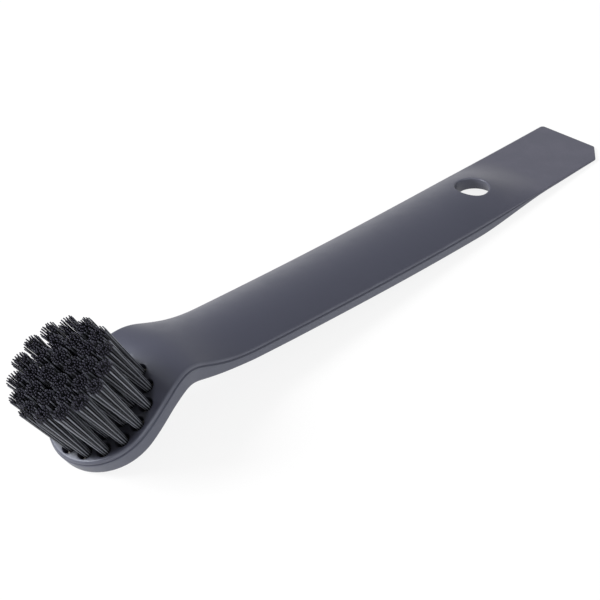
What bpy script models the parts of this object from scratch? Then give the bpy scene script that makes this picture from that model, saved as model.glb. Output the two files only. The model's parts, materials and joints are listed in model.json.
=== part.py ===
"""Juicer cleaning brush.

A one-piece moulded handle lies on its back. One end is a round brush head, tilted against
the grip, the other a thin flat scraper blade with one cut corner, and a hang hole goes
through the arched grip. Three rings of blind holes in the head's face hold tufts of
bristles, each folded over a flat wire anchor.

Metres, +Z up. The handle runs along +X from the head to the blade, its cut blade corner
is on the -Y side, and the origin is under the middle of the brush, on the ground.
"""

import math
import random

import bmesh
import bpy
import numpy as np
from mathutils import Matrix, Vector

MM = 0.001

# Shared fits and mesh tolerances
CLEARANCE = 0.3 * MM
CUT_OVERRUN = 1.0 * MM
MERGE_DISTANCE = 0.01 * MM
SHARP_ANGLE = math.radians(40.0)

# Handle: plan outline, measured along the middle of its top face from the head's centre
HEAD_RADIUS = 15.2 * MM
WAIST_HALF_WIDTH = 11.9 * MM
WAIST_DISTANCE = 25.0 * MM
GRIP_HALF_WIDTH = 12.5 * MM
BLADE_HALF_WIDTH = 12.0 * MM
HANDLE_LENGTH = 181.6 * MM
BLADE_LENGTH = 26.0 * MM
CROWN_FADE_LENGTH = 21.0 * MM
THINNING_LENGTH = 26.0 * MM
THINNING_LEAD = 7.0 * MM
CUT_CORNER = 5.2 * MM
ROUND_CORNER = 1.2 * MM

# Handle: side outline, as slopes against the head's face
FACE_MARGIN = 3.6 * MM
CREST_LENGTH = 13.6 * MM
NECK_LENGTH = 15.0 * MM
NECK_SLOPE = math.radians(-44.0)
GRIP_SLOPE = math.radians(-33.9)
BLADE_SLOPE = math.radians(-30.6)

# Handle: section
HEAD_THICKNESS = 4.9 * MM
NECK_SIDE_HEIGHT = 4.8 * MM
NECK_SIDE_DISTANCE = 17.0 * MM
GRIP_THICKNESS = 2.6 * MM
GRIP_SIDE_HEIGHT = 3.6 * MM
BLADE_THICKNESS = 0.9 * MM
BLADE_TIP_THICKNESS = 0.7 * MM
BLADE_BELLY = 0.15 * MM
REST_FLAT_DEPTH = 0.1 * MM
CROWN = 4.0 * MM
CROWN_START = 7.0 * MM
CROWN_RISE_LENGTH = 35.0 * MM
TOP_EDGE_RADIUS = 0.55 * MM
TOP_EDGE_SHARE = 0.2
LEDGE_WIDTH = 0.25 * MM
LEDGE_SHARE = 0.1
LOWER_EDGE_SHARE = 0.32

# Hang hole
HANG_HOLE_RADIUS = 4.9 * MM
HANG_HOLE_FROM_END = 47.6 * MM
HANG_HOLE_LIP = 0.6 * MM

# Bristle tufts, in three rings on the head's face
RING_MARGIN = 3.4 * MM
RING_PITCH = 4.2 * MM
OUTER_RING_COUNT = 15
MIDDLE_RING_COUNT = 10
INNER_RING_COUNT = 4
TUFT_FIELD_SHIFT = 0.3 * MM
TUFT_LEAN = 0.5 * MM
TUFT_HOLE_RADIUS = 1.75 * MM
TUFT_HOLE_DEPTH = 3.6 * MM
BRISTLE_LENGTH = 19.0 * MM
BRISTLE_LENGTH_SPREAD = 0.9 * MM
TUFT_TIP_RADIUS = 1.95 * MM
TIP_FIELD_SHARE = 0.957
ROOT_SINK = 0.5 * MM
STRAND_GAP = 0.14 * MM
STRANDS_PER_RING = 8
INNER_STRANDS_SHARE = 0.52
BRISTLE_SEED = 7

# Wire anchors
ANCHOR_THICKNESS = 0.45 * MM
ANCHOR_HEIGHT = 1.1 * MM
FOLD_THICKNESS = 0.5 * MM

# Facet counts
HEAD_STEPS = 28
NECK_STEPS = 26
GRIP_STEPS = 14
BLEND_STEPS = 12
BLADE_STEPS = 4
CORNER_STEPS = 3
ARCH_STEPS = 6
TOP_EDGE_STEPS = 2
LOWER_EDGE_STEPS = 3
HANG_HOLE_SIDES = 40
LIP_STEPS = 4
TUFT_HOLE_SIDES = 12

# Distances along the handle that follow from the sizes above
FACE_END = HEAD_RADIUS - FACE_MARGIN
NECK_STEEPEST = FACE_END + CREST_LENGTH
GRIP_START = NECK_STEEPEST + NECK_LENGTH
BLADE_START = HANDLE_LENGTH - BLADE_LENGTH
CROWN_FADE_START = BLADE_START - CROWN_FADE_LENGTH
THINNING_END = BLADE_START - THINNING_LEAD
THINNING_START = THINNING_END - THINNING_LENGTH
PATH_STEPS = 400
LEVEL_STEPS = 5

# Rings of tufts, from the head's rim inwards
OUTER_RING_RADIUS = HEAD_RADIUS - RING_MARGIN
MIDDLE_RING_RADIUS = OUTER_RING_RADIUS - RING_PITCH
INNER_RING_RADIUS = MIDDLE_RING_RADIUS - RING_PITCH

# Root of a tuft in its blind hole, and the window of the fold, where the anchor lies
ROOT_RADIUS = TUFT_HOLE_RADIUS - CLEARANCE
ROOT_FLOOR = -TUFT_HOLE_DEPTH + CLEARANCE
WINDOW_FLOOR = ROOT_FLOOR + FOLD_THICKNESS
WINDOW_HEIGHT = ANCHOR_HEIGHT + 2 * CLEARANCE
WINDOW_WIDTH = ANCHOR_THICKNESS + 2 * CLEARANCE
ANCHOR_LENGTH = 2 * ROOT_RADIUS


def eased(distance, stations, values):
    """Smooth steps from one value to the next between the stations, level outside them."""
    stations, values = np.array(stations), np.array(values)
    i = np.clip(np.searchsorted(stations, distance) - 1, 0, len(stations) - 2)
    u = np.clip((distance - stations[i]) / (stations[i + 1] - stations[i]), 0.0, 1.0)
    return values[i] + (values[i + 1] - values[i]) * u * u * (3.0 - 2.0 * u)


def slope_at(distance):
    """Slope of the handle's path against the head's face, in radians."""
    return eased(distance, (FACE_END, NECK_STEEPEST, GRIP_START, BLADE_START),
                 (0.0, NECK_SLOPE, GRIP_SLOPE, BLADE_SLOPE))


def half_width_at(distance):
    """Half of the handle's width."""
    return eased(distance, (0.0, WAIST_DISTANCE, THINNING_START, HANDLE_LENGTH),
                 (HEAD_RADIUS, WAIST_HALF_WIDTH, GRIP_HALF_WIDTH, BLADE_HALF_WIDTH))


def crown_at(distance):
    """How far the top face's edges lie below its middle."""
    return eased(distance, (CROWN_START, CROWN_START + CROWN_RISE_LENGTH, CROWN_FADE_START,
                            BLADE_START), (0.0, CROWN, CROWN, 0.0))


def sink_at(distance):
    """How far the top's middle sinks under the path, so that its edges run straight on."""
    return eased(distance, (CROWN_FADE_START, BLADE_START), (0.0, CROWN))


def thickness_at(distance):
    """Thickness along the middle, from the head's disc to the blade's tip."""
    return eased(distance, (FACE_END, GRIP_START, THINNING_START, THINNING_END, HANDLE_LENGTH),
                 (HEAD_THICKNESS, GRIP_THICKNESS, GRIP_THICKNESS, BLADE_THICKNESS,
                  BLADE_TIP_THICKNESS))


def side_height_at(distance):
    """Height of the side band. The blade's underside bulges from it by the blade's belly."""
    return eased(distance, (0.0, NECK_SIDE_DISTANCE, GRIP_START, THINNING_START, THINNING_END,
                            HANDLE_LENGTH),
                 (HEAD_THICKNESS, NECK_SIDE_HEIGHT, GRIP_SIDE_HEIGHT, GRIP_SIDE_HEIGHT,
                  BLADE_THICKNESS - BLADE_BELLY, BLADE_TIP_THICKNESS - BLADE_BELLY))


def path_point(distance):
    """Position (x, z) on the handle's path, the slope summed along it from the head's centre."""
    path = np.linspace(0.0, HANDLE_LENGTH, PATH_STEPS + 1)
    slope = slope_at((path[:-1] + path[1:]) / 2)
    step = np.diff(path)
    x = np.concatenate(([0.0], np.cumsum(step * np.cos(slope))))
    z = np.concatenate(([0.0], np.cumsum(step * np.sin(slope))))
    return np.interp(distance, path, x), np.interp(distance, path, z)


def half_section(width, crown, thickness, side_height):
    """Half of a cross-section as (outward, up) points, from the top's middle to the bottom's.

    The top is a parabola that falls by the crown, then come a rounded edge, a small ledge,
    the side, a rounded lower edge, and a parabola back to one thickness below the middle.
    """
    edge = min(TOP_EDGE_RADIUS, TOP_EDGE_SHARE * side_height)
    ledge = min(LEDGE_WIDTH, LEDGE_SHARE * side_height)
    lower = LOWER_EDGE_SHARE * side_height
    top_reach = width - ledge - edge
    bottom_reach = width - lower

    def top(outward):
        return -crown * (outward / width) ** 2

    def bottom(outward):
        return -thickness - (crown + side_height - thickness) * (outward / width) ** 2

    points = [(outward, top(outward)) for outward in np.linspace(0.0, top_reach, ARCH_STEPS + 1)]
    rim = top(top_reach)
    for k in range(1, TOP_EDGE_STEPS + 1):
        turn = math.pi / 2 * k / TOP_EDGE_STEPS
        points.append((top_reach + edge * math.sin(turn), rim - edge * (1.0 - math.cos(turn))))
    points.append((width, rim - edge - ledge))
    foot = bottom(bottom_reach)
    for k in range(LOWER_EDGE_STEPS + 1):
        turn = math.pi / 2 * k / LOWER_EDGE_STEPS
        points.append((bottom_reach + lower * math.cos(turn), foot + lower * (1.0 - math.sin(turn))))
    inner = np.linspace(bottom_reach, 0.0, ARCH_STEPS)[1:]
    points += [(outward, bottom(outward)) for outward in inner]
    return points


def corner_cuts(distance):
    """How much the blade's cut corner and its rounded corner take off the two half-widths."""
    cut = max(0.0, distance - (HANDLE_LENGTH - CUT_CORNER))
    into = max(0.0, distance - (HANDLE_LENGTH - ROUND_CORNER))
    rounded = ROUND_CORNER - math.sqrt(max(0.0, ROUND_CORNER ** 2 - into ** 2))
    return cut, rounded


def handle_stations():
    """Distances of the cross-sections, close together where the form turns."""
    spans = ((0.0, GRIP_START, NECK_STEPS), (GRIP_START, THINNING_START, GRIP_STEPS),
             (THINNING_START, BLADE_START, BLEND_STEPS),
             (BLADE_START, HANDLE_LENGTH - CUT_CORNER, BLADE_STEPS),
             (HANDLE_LENGTH - CUT_CORNER, HANDLE_LENGTH - ROUND_CORNER, 1))
    stations = [0.0]
    for start, end, steps in spans:
        stations += list(np.linspace(start, end, steps + 1)[1:])
    for k in range(1, CORNER_STEPS + 1):
        turn = math.pi / 2 * k / CORNER_STEPS
        stations.append(HANDLE_LENGTH - ROUND_CORNER * (1.0 - math.sin(turn)))
    return stations


def section_ring(bm, distance):
    """Add the closed ring of one cross-section, near side first, and return its vertices."""
    x, z = path_point(distance)
    slope = float(slope_at(distance))
    up = Vector((-math.sin(slope), 0.0, math.cos(slope)))
    along = Vector((x, 0.0, z)) - up * float(sink_at(distance))
    crown, thickness = float(crown_at(distance)), float(thickness_at(distance))
    side_height = float(side_height_at(distance))
    near_cut, far_cut = corner_cuts(distance)
    width = float(half_width_at(distance))
    near = half_section(width - near_cut, crown, thickness, side_height)
    far = half_section(width - far_cut, crown, thickness, side_height)
    side = Vector((0.0, 1.0, 0.0))
    ring = [bm.verts.new(along - side * out + up * rise) for out, rise in near]
    ring += [bm.verts.new(along + side * out + up * rise) for out, rise in far[-2:0:-1]]
    return ring


def bridge_rings(bm, first, second):
    """Quads between two rings of the same count."""
    count = len(first)
    for k in range(count):
        bm.faces.new((first[k], first[(k + 1) % count], second[(k + 1) % count], second[k]))


def head_front(bm, ring):
    """Turn the head's half-section round its axis, from the first ring's near side to its far."""
    half = len(ring) // 2
    arcs = [ring[:half + 1]]
    for k in range(1, HEAD_STEPS):
        turn = Matrix.Rotation(-math.pi * k / HEAD_STEPS, 4, "Z")
        arc = [bm.verts.new(turn @ vert.co) for vert in ring[1:half]]
        arcs.append([ring[0]] + arc + [ring[half]])
    arcs.append([ring[0]] + ring[:half:-1] + [ring[half]])
    for first, second in zip(arcs, arcs[1:]):
        bm.faces.new((first[0], second[1], first[1]))
        for k in range(1, half - 1):
            bm.faces.new((first[k], second[k], second[k + 1], first[k + 1]))
        bm.faces.new((first[half - 1], second[half - 1], first[half]))


def finish_mesh(bm, name, material, collection):
    """Write a bmesh into a named object with its material, shaded smooth but for sharp edges."""
    bmesh.ops.recalc_face_normals(bm, faces=bm.faces)
    mesh = bpy.data.meshes.new(name)
    bm.to_mesh(mesh)
    bm.free()
    mesh.shade_smooth()
    mesh.set_sharp_from_angle(angle=SHARP_ANGLE)
    obj = bpy.data.objects.new(name, mesh)
    if material is not None:
        mesh.materials.append(material)
    collection.objects.link(obj)
    return obj


def make_material(name, colour, roughness, metallic=0.0):
    """Principled material of one colour."""
    material = bpy.data.materials.new(name)
    material.use_nodes = True
    shader = material.node_tree.nodes["Principled BSDF"]
    shader.inputs["Base Color"].default_value = (*colour, 1.0)
    shader.inputs["Roughness"].default_value = roughness
    shader.inputs["Metallic"].default_value = metallic
    return material


def hide_cutter(obj):
    """Draw a cutter as wires, and never render it."""
    obj.hide_render = True
    obj.display_type = "WIRE"


def cut(obj, name, cutter):
    """Take a cutter's shape out of an object."""
    modifier = obj.modifiers.new(name, "BOOLEAN")
    modifier.operation = "DIFFERENCE"
    modifier.solver = "EXACT"
    modifier.object = cutter


def make_handle(parts, cutters, material):
    """Head, neck, arched grip and blade in one body, with its holes cut."""
    bm = bmesh.new()
    rings = [section_ring(bm, distance) for distance in handle_stations()]
    for first, second in zip(rings, rings[1:]):
        bridge_rings(bm, first, second)
    bm.faces.new(rings[-1])
    head_front(bm, rings[0])
    press_rest_flat(bm)
    handle = finish_mesh(bm, "handle", material, parts)
    cut(handle, "Tuft holes", make_tuft_hole_cutter(cutters))
    cut(handle, "Hang hole", make_hang_hole_cutter(cutters))
    return handle


def resting_place(points, pressed):
    """Turn about Y that lays the points down, and the height of the ground once they are turned.

    They rest on the lowest point of their back half, and on the lowest of their front half after
    it has been pressed up by a depth.
    """
    front = points[:, 0] < HANDLE_LENGTH / 2
    turn = 0.0
    for _ in range(LEVEL_STEPS):
        x = points[:, 0] * math.cos(turn) + points[:, 2] * math.sin(turn)
        z = points[:, 2] * math.cos(turn) - points[:, 0] * math.sin(turn)
        head = np.argmin(np.where(front, z, np.inf))
        blade = np.argmin(np.where(front, np.inf, z))
        turn += math.atan2(z[blade] - z[head] - pressed, x[blade] - x[head])
    return turn, z[blade]


def press_rest_flat(bm):
    """Press the lowest stretch of the head's rim up to the ground, as a small flat to rest on."""
    turn, ground = resting_place(np.array([vert.co for vert in bm.verts]), REST_FLAT_DEPTH)
    up = Vector((-math.sin(turn), 0.0, math.cos(turn)))
    for vert in bm.verts:
        vert.co += up * max(0.0, ground - vert.co.dot(up))


def ring_places():
    """Name, and place on the head's face, of each tuft."""
    places = []
    for ring, radius, count in (("outer", OUTER_RING_RADIUS, OUTER_RING_COUNT),
                                ("middle", MIDDLE_RING_RADIUS, MIDDLE_RING_COUNT),
                                ("inner", INNER_RING_RADIUS, INNER_RING_COUNT)):
        for k in range(count):
            turn = 2 * math.pi * (k + 0.5) / count
            place = Vector((radius * math.cos(turn) - TUFT_FIELD_SHIFT,
                            radius * math.sin(turn), 0.0))
            places.append((f"{ring}_{k + 1:02d}", place))
    return places


def make_tuft_hole_cutter(cutters):
    """One cylinder for each blind hole, in one cutter."""
    bm = bmesh.new()
    height = TUFT_HOLE_DEPTH + CUT_OVERRUN
    for _, place in ring_places():
        middle = place + Vector((0.0, 0.0, CUT_OVERRUN - height / 2))
        bmesh.ops.create_cone(bm, cap_ends=True, segments=TUFT_HOLE_SIDES, radius1=TUFT_HOLE_RADIUS,
                              radius2=TUFT_HOLE_RADIUS, depth=height,
                              matrix=Matrix.Translation(middle))
    cutter = finish_mesh(bm, "tuft_hole_cutter", None, cutters)
    hide_cutter(cutter)
    return cutter


def make_hang_hole_cutter(cutters):
    """Turned cutter whose top flares into a rounded lip, square to the grip's middle line."""
    distance = HANDLE_LENGTH - HANG_HOLE_FROM_END
    flare = [(HANG_HOLE_RADIUS + HANG_HOLE_LIP * (1.0 - math.cos(turn)),
              -HANG_HOLE_LIP * (1.0 - math.sin(turn)))
             for turn in np.linspace(math.pi / 2, 0.0, LIP_STEPS + 1)]
    roof = CUT_OVERRUN
    foot = -(CROWN + GRIP_SIDE_HEIGHT + CUT_OVERRUN)
    profile = [(0.0, roof), (flare[0][0], roof)] + flare + [(HANG_HOLE_RADIUS, foot), (0.0, foot)]
    mesh = bpy.data.meshes.new("hang_hole_cutter")
    mesh.from_pydata([(radius, 0.0, rise) for radius, rise in profile],
                     [(k, k + 1) for k in range(len(profile) - 1)], [])
    cutter = bpy.data.objects.new("hang_hole_cutter", mesh)
    cutters.objects.link(cutter)
    screw = cutter.modifiers.new("Turn", "SCREW")
    screw.steps = screw.render_steps = HANG_HOLE_SIDES
    screw.use_merge_vertices = True
    screw.merge_threshold = MERGE_DISTANCE
    x, z = path_point(distance)
    cutter.location = (x, 0.0, z)
    cutter.rotation_euler = (0.0, -float(slope_at(distance)), 0.0)
    hide_cutter(cutter)
    return cutter


def make_root(bm):
    """Make the solid root of a tuft, and return its top: triangles inside, quads outside."""
    level = Matrix.Translation((0.0, 0.0, -ROOT_SINK))
    disc = bmesh.ops.create_circle(bm, cap_ends=True, cap_tris=True, segments=STRANDS_PER_RING,
                                   radius=ROOT_RADIUS * INNER_STRANDS_SHARE, matrix=level)["verts"]
    rim = bmesh.ops.create_circle(bm, segments=STRANDS_PER_RING, radius=ROOT_RADIUS,
                                  matrix=level)["verts"]
    bridge_rings(bm, [vert for vert in disc if vert.is_boundary], rim)
    top = list(bm.faces)
    floor = bmesh.ops.create_circle(bm, cap_ends=True, segments=STRANDS_PER_RING,
                                    radius=ROOT_RADIUS,
                                    matrix=Matrix.Translation((0.0, 0.0, ROOT_FLOOR)))["verts"]
    bridge_rings(bm, rim, floor)
    bmesh.ops.recalc_face_normals(bm, faces=bm.faces)
    return top


def grow_strands(bm, top, lean, rng):
    """Raise a strand of its own length on each face of the top, all fanned and leaning alike."""
    bmesh.ops.inset_individual(bm, faces=top, thickness=STRAND_GAP / 2)
    tips = bmesh.ops.extrude_discrete_faces(bm, faces=top)["faces"]
    fan = TUFT_TIP_RADIUS / ROOT_RADIUS
    for tip in tips:
        rise = BRISTLE_LENGTH - BRISTLE_LENGTH_SPREAD * rng.random()
        share = (rise + ROOT_SINK) / (BRISTLE_LENGTH + ROOT_SINK)
        spread = 1.0 + (fan - 1.0) * share
        for vert in tip.verts:
            vert.co = Vector((vert.co.x * spread, vert.co.y * spread, rise)) + lean * share


def make_tuft(name, place, parts, material, window_cutter, rng):
    """One tuft: strands fused to a folded root, which fills its hole round the anchor.

    Its tips are drawn in towards the middle of the field, and lean a little to the front.
    """
    bm = bmesh.new()
    top = make_root(bm)
    middle = Vector((-TUFT_FIELD_SHIFT, 0.0, 0.0))
    lean = (place - middle) * (TIP_FIELD_SHARE - 1.0) - Vector((TUFT_LEAN, 0.0, 0.0))
    grow_strands(bm, top, lean, rng)
    tuft = finish_mesh(bm, f"tuft_{name}", material, parts)
    tuft.location = place
    cut(tuft, "Anchor window", window_cutter)
    return tuft


def add_box(bm, middle, size):
    """Add a box of a size about its middle."""
    placing = Matrix.Translation(middle) @ Matrix.Diagonal((*size, 1.0))
    bmesh.ops.create_cube(bm, size=1.0, matrix=placing)


def make_window_cutter(cutters):
    """One box for the window of each folded root, in one cutter."""
    bm = bmesh.new()
    rise = Vector((0.0, 0.0, WINDOW_FLOOR + WINDOW_HEIGHT / 2))
    for _, place in ring_places():
        add_box(bm, place + rise, (ANCHOR_LENGTH + 2 * CLEARANCE, WINDOW_WIDTH, WINDOW_HEIGHT))
    cutter = finish_mesh(bm, "anchor_window_cutter", None, cutters)
    hide_cutter(cutter)
    return cutter


def make_anchor(name, place, parts, material):
    """Flat wire that lies in the window of its tuft's fold and holds it down in the hole."""
    bm = bmesh.new()
    middle = Vector((0.0, 0.0, WINDOW_FLOOR + WINDOW_HEIGHT / 2))
    add_box(bm, middle, (ANCHOR_LENGTH, ANCHOR_THICKNESS, ANCHOR_HEIGHT))
    anchor = finish_mesh(bm, f"anchor_{name}", material, parts)
    anchor.location = place
    return anchor


def lay_down(root, objects):
    """Turn and move the root so that head and blade both touch the ground, in its middle."""
    bpy.context.view_layer.update()
    corners = np.array([obj.matrix_basis @ vert.co for obj in objects for vert in obj.data.vertices])
    turn, ground = resting_place(corners, 0.0)
    x = corners[:, 0] * math.cos(turn) + corners[:, 2] * math.sin(turn)
    root.rotation_euler = (0.0, turn, 0.0)
    root.location = (-(x.min() + x.max()) / 2, 0.0, -ground)


def main():
    """Build the brush from an empty scene."""
    for obj in list(bpy.data.objects):
        bpy.data.objects.remove(obj, do_unlink=True)
    parts = bpy.data.collections.new("juicer_cleaning_brush")
    cutters = bpy.data.collections.new("cutters")
    for collection in (parts, cutters):
        bpy.context.scene.collection.children.link(collection)

    plastic = make_material("slate_plastic", (0.070, 0.075, 0.095), 0.42)
    nylon = make_material("black_nylon", (0.012, 0.012, 0.014), 0.35)
    wire = make_material("anchor_wire", (0.55, 0.53, 0.48), 0.35, metallic=1.0)

    root = bpy.data.objects.new("brush_root", None)
    parts.objects.link(root)
    rng = random.Random(BRISTLE_SEED)
    pieces = [make_handle(parts, cutters, plastic)]
    window_cutter = make_window_cutter(cutters)
    for name, place in ring_places():
        pieces.append(make_tuft(name, place, parts, nylon, window_cutter, rng))
        pieces.append(make_anchor(name, place, parts, wire))
    for obj in pieces + list(cutters.objects):
        obj.parent = root
    lay_down(root, pieces)


main()
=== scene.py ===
"""Finished look of a juicer cleaning brush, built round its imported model.

The moulded handle is one skin. Its plan outline runs round the head, along both sides and round
the blade, and an edge profile is carried round it: a rounded rim, a thin groove, the side band and
a rounded lower bead. A top and a bottom plate close it, with the blind tuft holes and the lipped
hang hole let into them. The tufts are bundles of folded nylon filaments.

Metres, +Z up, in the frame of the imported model.
"""

import sys

import json
import logging
import math
from collections.abc import Callable
from dataclasses import dataclass
from enum import Enum
from typing import ClassVar

import bpy
import numpy as np
from mathutils import Matrix, Vector
from mathutils.geometry import delaunay_2d_cdt


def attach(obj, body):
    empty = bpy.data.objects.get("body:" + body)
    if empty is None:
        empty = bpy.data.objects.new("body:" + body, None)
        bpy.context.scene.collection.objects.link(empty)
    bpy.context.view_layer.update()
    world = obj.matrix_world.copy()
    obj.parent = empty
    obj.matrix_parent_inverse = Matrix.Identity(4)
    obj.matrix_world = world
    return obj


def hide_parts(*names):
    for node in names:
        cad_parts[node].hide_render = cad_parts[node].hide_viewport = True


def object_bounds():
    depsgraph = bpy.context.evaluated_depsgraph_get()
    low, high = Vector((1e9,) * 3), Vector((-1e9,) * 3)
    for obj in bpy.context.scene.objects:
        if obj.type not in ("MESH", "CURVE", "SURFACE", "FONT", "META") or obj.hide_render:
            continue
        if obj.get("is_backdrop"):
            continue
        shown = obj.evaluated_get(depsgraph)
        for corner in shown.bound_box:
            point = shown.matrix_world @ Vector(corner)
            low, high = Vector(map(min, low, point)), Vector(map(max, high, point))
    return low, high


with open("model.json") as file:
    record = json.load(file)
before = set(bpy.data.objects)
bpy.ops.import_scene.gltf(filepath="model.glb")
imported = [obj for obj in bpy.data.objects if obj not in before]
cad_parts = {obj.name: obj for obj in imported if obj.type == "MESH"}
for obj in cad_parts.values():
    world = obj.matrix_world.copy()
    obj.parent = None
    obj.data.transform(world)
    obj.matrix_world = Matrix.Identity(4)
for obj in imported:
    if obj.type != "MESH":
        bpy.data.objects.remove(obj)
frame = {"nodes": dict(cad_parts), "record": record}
CAD_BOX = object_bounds()

log = logging.getLogger("brush")

MM = 0.001
BODY = "root"
HEAD_RADIUS = 15.2 * MM
HEAD_THICKNESS = 4.9 * MM
# Point of the mount on the head's back, in the head's own frame.
HEAD_BACK_POINT = (-5.0 * MM, 0.0, -HEAD_THICKNESS)

Array = np.ndarray
Colour = tuple[float, float, float]
Pairs = tuple[tuple[float, float], ...]
Surface = Callable[[Array, Array], Array]


class Ring(Enum):
    """Rings of tufts on the head's face, each with its count of tufts."""

    OUTER = 15
    MIDDLE = 10
    INNER = 4


class Slot(Enum):
    """Material slots of the record, by name."""

    PLASTIC = "handle_plastic"
    NYLON = "bristle_nylon"


def eased(distance: Array, stations: tuple[float, ...], values: tuple[float, ...]) -> Array:
    """Smooth steps from one value to the next between stations, level outside them.

    Formula: with u the share of the way between two stations, the value moves on by
    three u squared less two u cubed of the step.

    Args:
        distance: Distances at which the value is wanted.
        stations: Distances at which the values hold, rising.
        values: The value at each station.

    Returns:
        The value at each distance.
    """
    at, value = np.array(stations), np.array(values)
    i = np.clip(np.searchsorted(at, distance) - 1, 0, len(at) - 2)
    u = np.clip((distance - at[i]) / (at[i + 1] - at[i]), 0.0, 1.0)
    return value[i] + (value[i + 1] - value[i]) * u * u * (3.0 - 2.0 * u)


def around(turn: Array) -> Array:
    """Unit directions (n, 2) at angles: their cosines and sines."""
    return np.stack([np.cos(turn), np.sin(turn)], axis=-1)


def full_turn(count: int, start: float = 0.0) -> Array:
    """Angles of equal steps round a circle, the first of them a share of a step past 0."""
    return 2 * math.pi * (np.arange(count) + start) / count


def direction(azimuth: float, elevation: float) -> Vector:
    """Direction out from the brush at an azimuth and an elevation in radians."""
    level = math.cos(elevation)
    return Vector((math.sin(azimuth) * level, -math.cos(azimuth) * level, math.sin(elevation)))


def make_mesh(name: str, points: Array, faces: list[list[int]], material: bpy.types.Material,
              shares: dict[str, Array] | None = None) -> bpy.types.Object:
    """Make an object of points and faces, shaded smooth, with a share at each point by name.

    Args:
        name: Name of the object and its mesh.
        points: Places of the points, in metres.
        faces: Vertex indices of each face.
        material: Finish of the whole mesh.
        shares: Values from 0 to 1 at each point, by attribute name.

    Returns:
        The new object, linked to the scene.
    """
    mesh = bpy.data.meshes.new(name)
    mesh.from_pydata(points.tolist(), [], faces)
    for label, values in (shares or {}).items():
        attribute = mesh.attributes.new(label, "FLOAT", "POINT")
        attribute.data.foreach_set("value", values.astype(np.float32).ravel())
    mesh.shade_smooth()
    mesh.materials.append(material)
    obj = bpy.data.objects.new(name, mesh)
    bpy.context.scene.collection.objects.link(obj)
    return obj


class Signal:
    """An output socket, on which the operators add Math nodes."""

    def __init__(self, graph: "Graph", socket: bpy.types.NodeSocket) -> None:
        """Keep the socket and the graph that it belongs to."""
        self.graph = graph
        self.socket = socket

    def math(self, operation: str, first: "Signal | float", second: "Signal | float") -> "Signal":
        """Add a Math node of an operation on two values."""
        return self.graph.node("ShaderNodeMath", {"operation": operation}, {0: first, 1: second})

    def __add__(self, other: "Signal | float") -> "Signal":
        """Sum of two values."""
        return self.math("ADD", self, other)

    def __radd__(self, other: float) -> "Signal":
        """Sum of two values."""
        return self.math("ADD", other, self)

    def __sub__(self, other: "Signal | float") -> "Signal":
        """Difference of two values."""
        return self.math("SUBTRACT", self, other)

    def __rsub__(self, other: float) -> "Signal":
        """Difference of two values."""
        return self.math("SUBTRACT", other, self)

    def __mul__(self, other: "Signal | float") -> "Signal":
        """Product of two values."""
        return self.math("MULTIPLY", self, other)

    def __rmul__(self, other: float) -> "Signal":
        """Product of two values."""
        return self.math("MULTIPLY", other, self)


def opaque(value: Signal | Colour) -> Signal | tuple[float, ...]:
    """A colour with an alpha of 1, or a signal as it is."""
    return value if isinstance(value, Signal) else (*value, 1.0)


class Graph:
    """A node tree that materials and the world are written in."""

    def __init__(self, tree: bpy.types.NodeTree) -> None:
        """Empty the tree."""
        tree.nodes.clear()
        self.tree = tree

    def node(self, kind: str, settings: dict | None = None, sockets: dict | None = None,
             output: int | str = 0) -> Signal:
        """Add a node.

        Args:
            kind: Type of the node.
            settings: Properties of the node by name; stops are those of a colour ramp.
            sockets: Values or signals of the input sockets, by name or index.
            output: Name or index of the output that is returned.

        Returns:
            The signal of the output, or of the first socket of a node without outputs.
        """
        node = self.tree.nodes.new(kind)
        for name, value in (settings or {}).items():
            if name == "stops":
                self.set_stops(node.color_ramp, value)
            else:
                setattr(node, name, value)
        for name, value in (sockets or {}).items():
            if isinstance(value, Signal):
                self.tree.links.new(value.socket, node.inputs[name])
            else:
                node.inputs[name].default_value = value
        return Signal(self, node.outputs[output] if node.outputs else node.inputs[0])

    @staticmethod
    def set_stops(ramp: bpy.types.ColorRamp, stops: Pairs) -> None:
        """Give a colour ramp its stops.

        Args:
            ramp: A new colour ramp, which has two stops.
            stops: Place and grey value of each stop, two or more of them.
        """
        while len(ramp.elements) < len(stops):
            ramp.elements.new(1.0)
        for element, (place, grey) in zip(ramp.elements, stops):
            element.position = place
            element.color = (grey, grey, grey, 1.0)

    def coordinates(self) -> Signal:
        """Object coordinates."""
        return self.node("ShaderNodeTexCoord", output="Object")

    def share(self, name: str) -> Signal:
        """A share that is kept at each point of the mesh."""
        return self.node("ShaderNodeAttribute", {"attribute_name": name}, output="Fac")

    def noise(self, place: Signal, size: float, detail: float = 3.0) -> Signal:
        """Noise from 0 to 1 with features of a size in metres."""
        return self.node("ShaderNodeTexNoise", None,
                         {"Vector": place, "Scale": 1.0 / size, "Detail": detail})

    def seen(self) -> Signal:
        """1 for camera, glossy and clear rays, and 0 for those that only carry light."""
        rays = [self.node("ShaderNodeLightPath", output=name)
                for name in ("Is Camera Ray", "Is Glossy Ray", "Is Transmission Ray")]
        return rays[0].math("MAXIMUM", rays[0], rays[1].math("MAXIMUM", rays[1], rays[2]))

    def ramp(self, value: Signal, stops: Pairs) -> Signal:
        """Grey ramp over a value."""
        return self.node("ShaderNodeValToRGB", {"stops": stops}, {0: value})

    def mix(self, share: Signal | float, first: Signal | Colour, second: Signal | Colour,
            blend: str = "MIX") -> Signal:
        """Mix of two colours by a share, with a mode of blending."""
        return self.node("ShaderNodeMix", {"data_type": "RGBA", "blend_type": blend},
                         {0: share, 6: opaque(first), 7: opaque(second)}, 2)

    def bump(self, height: Signal, strength: float, distance: float) -> Signal:
        """Normal of a height that rises by a distance in metres."""
        return self.node("ShaderNodeBump", None,
                         {"Height": height, "Strength": strength, "Distance": distance})


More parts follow.
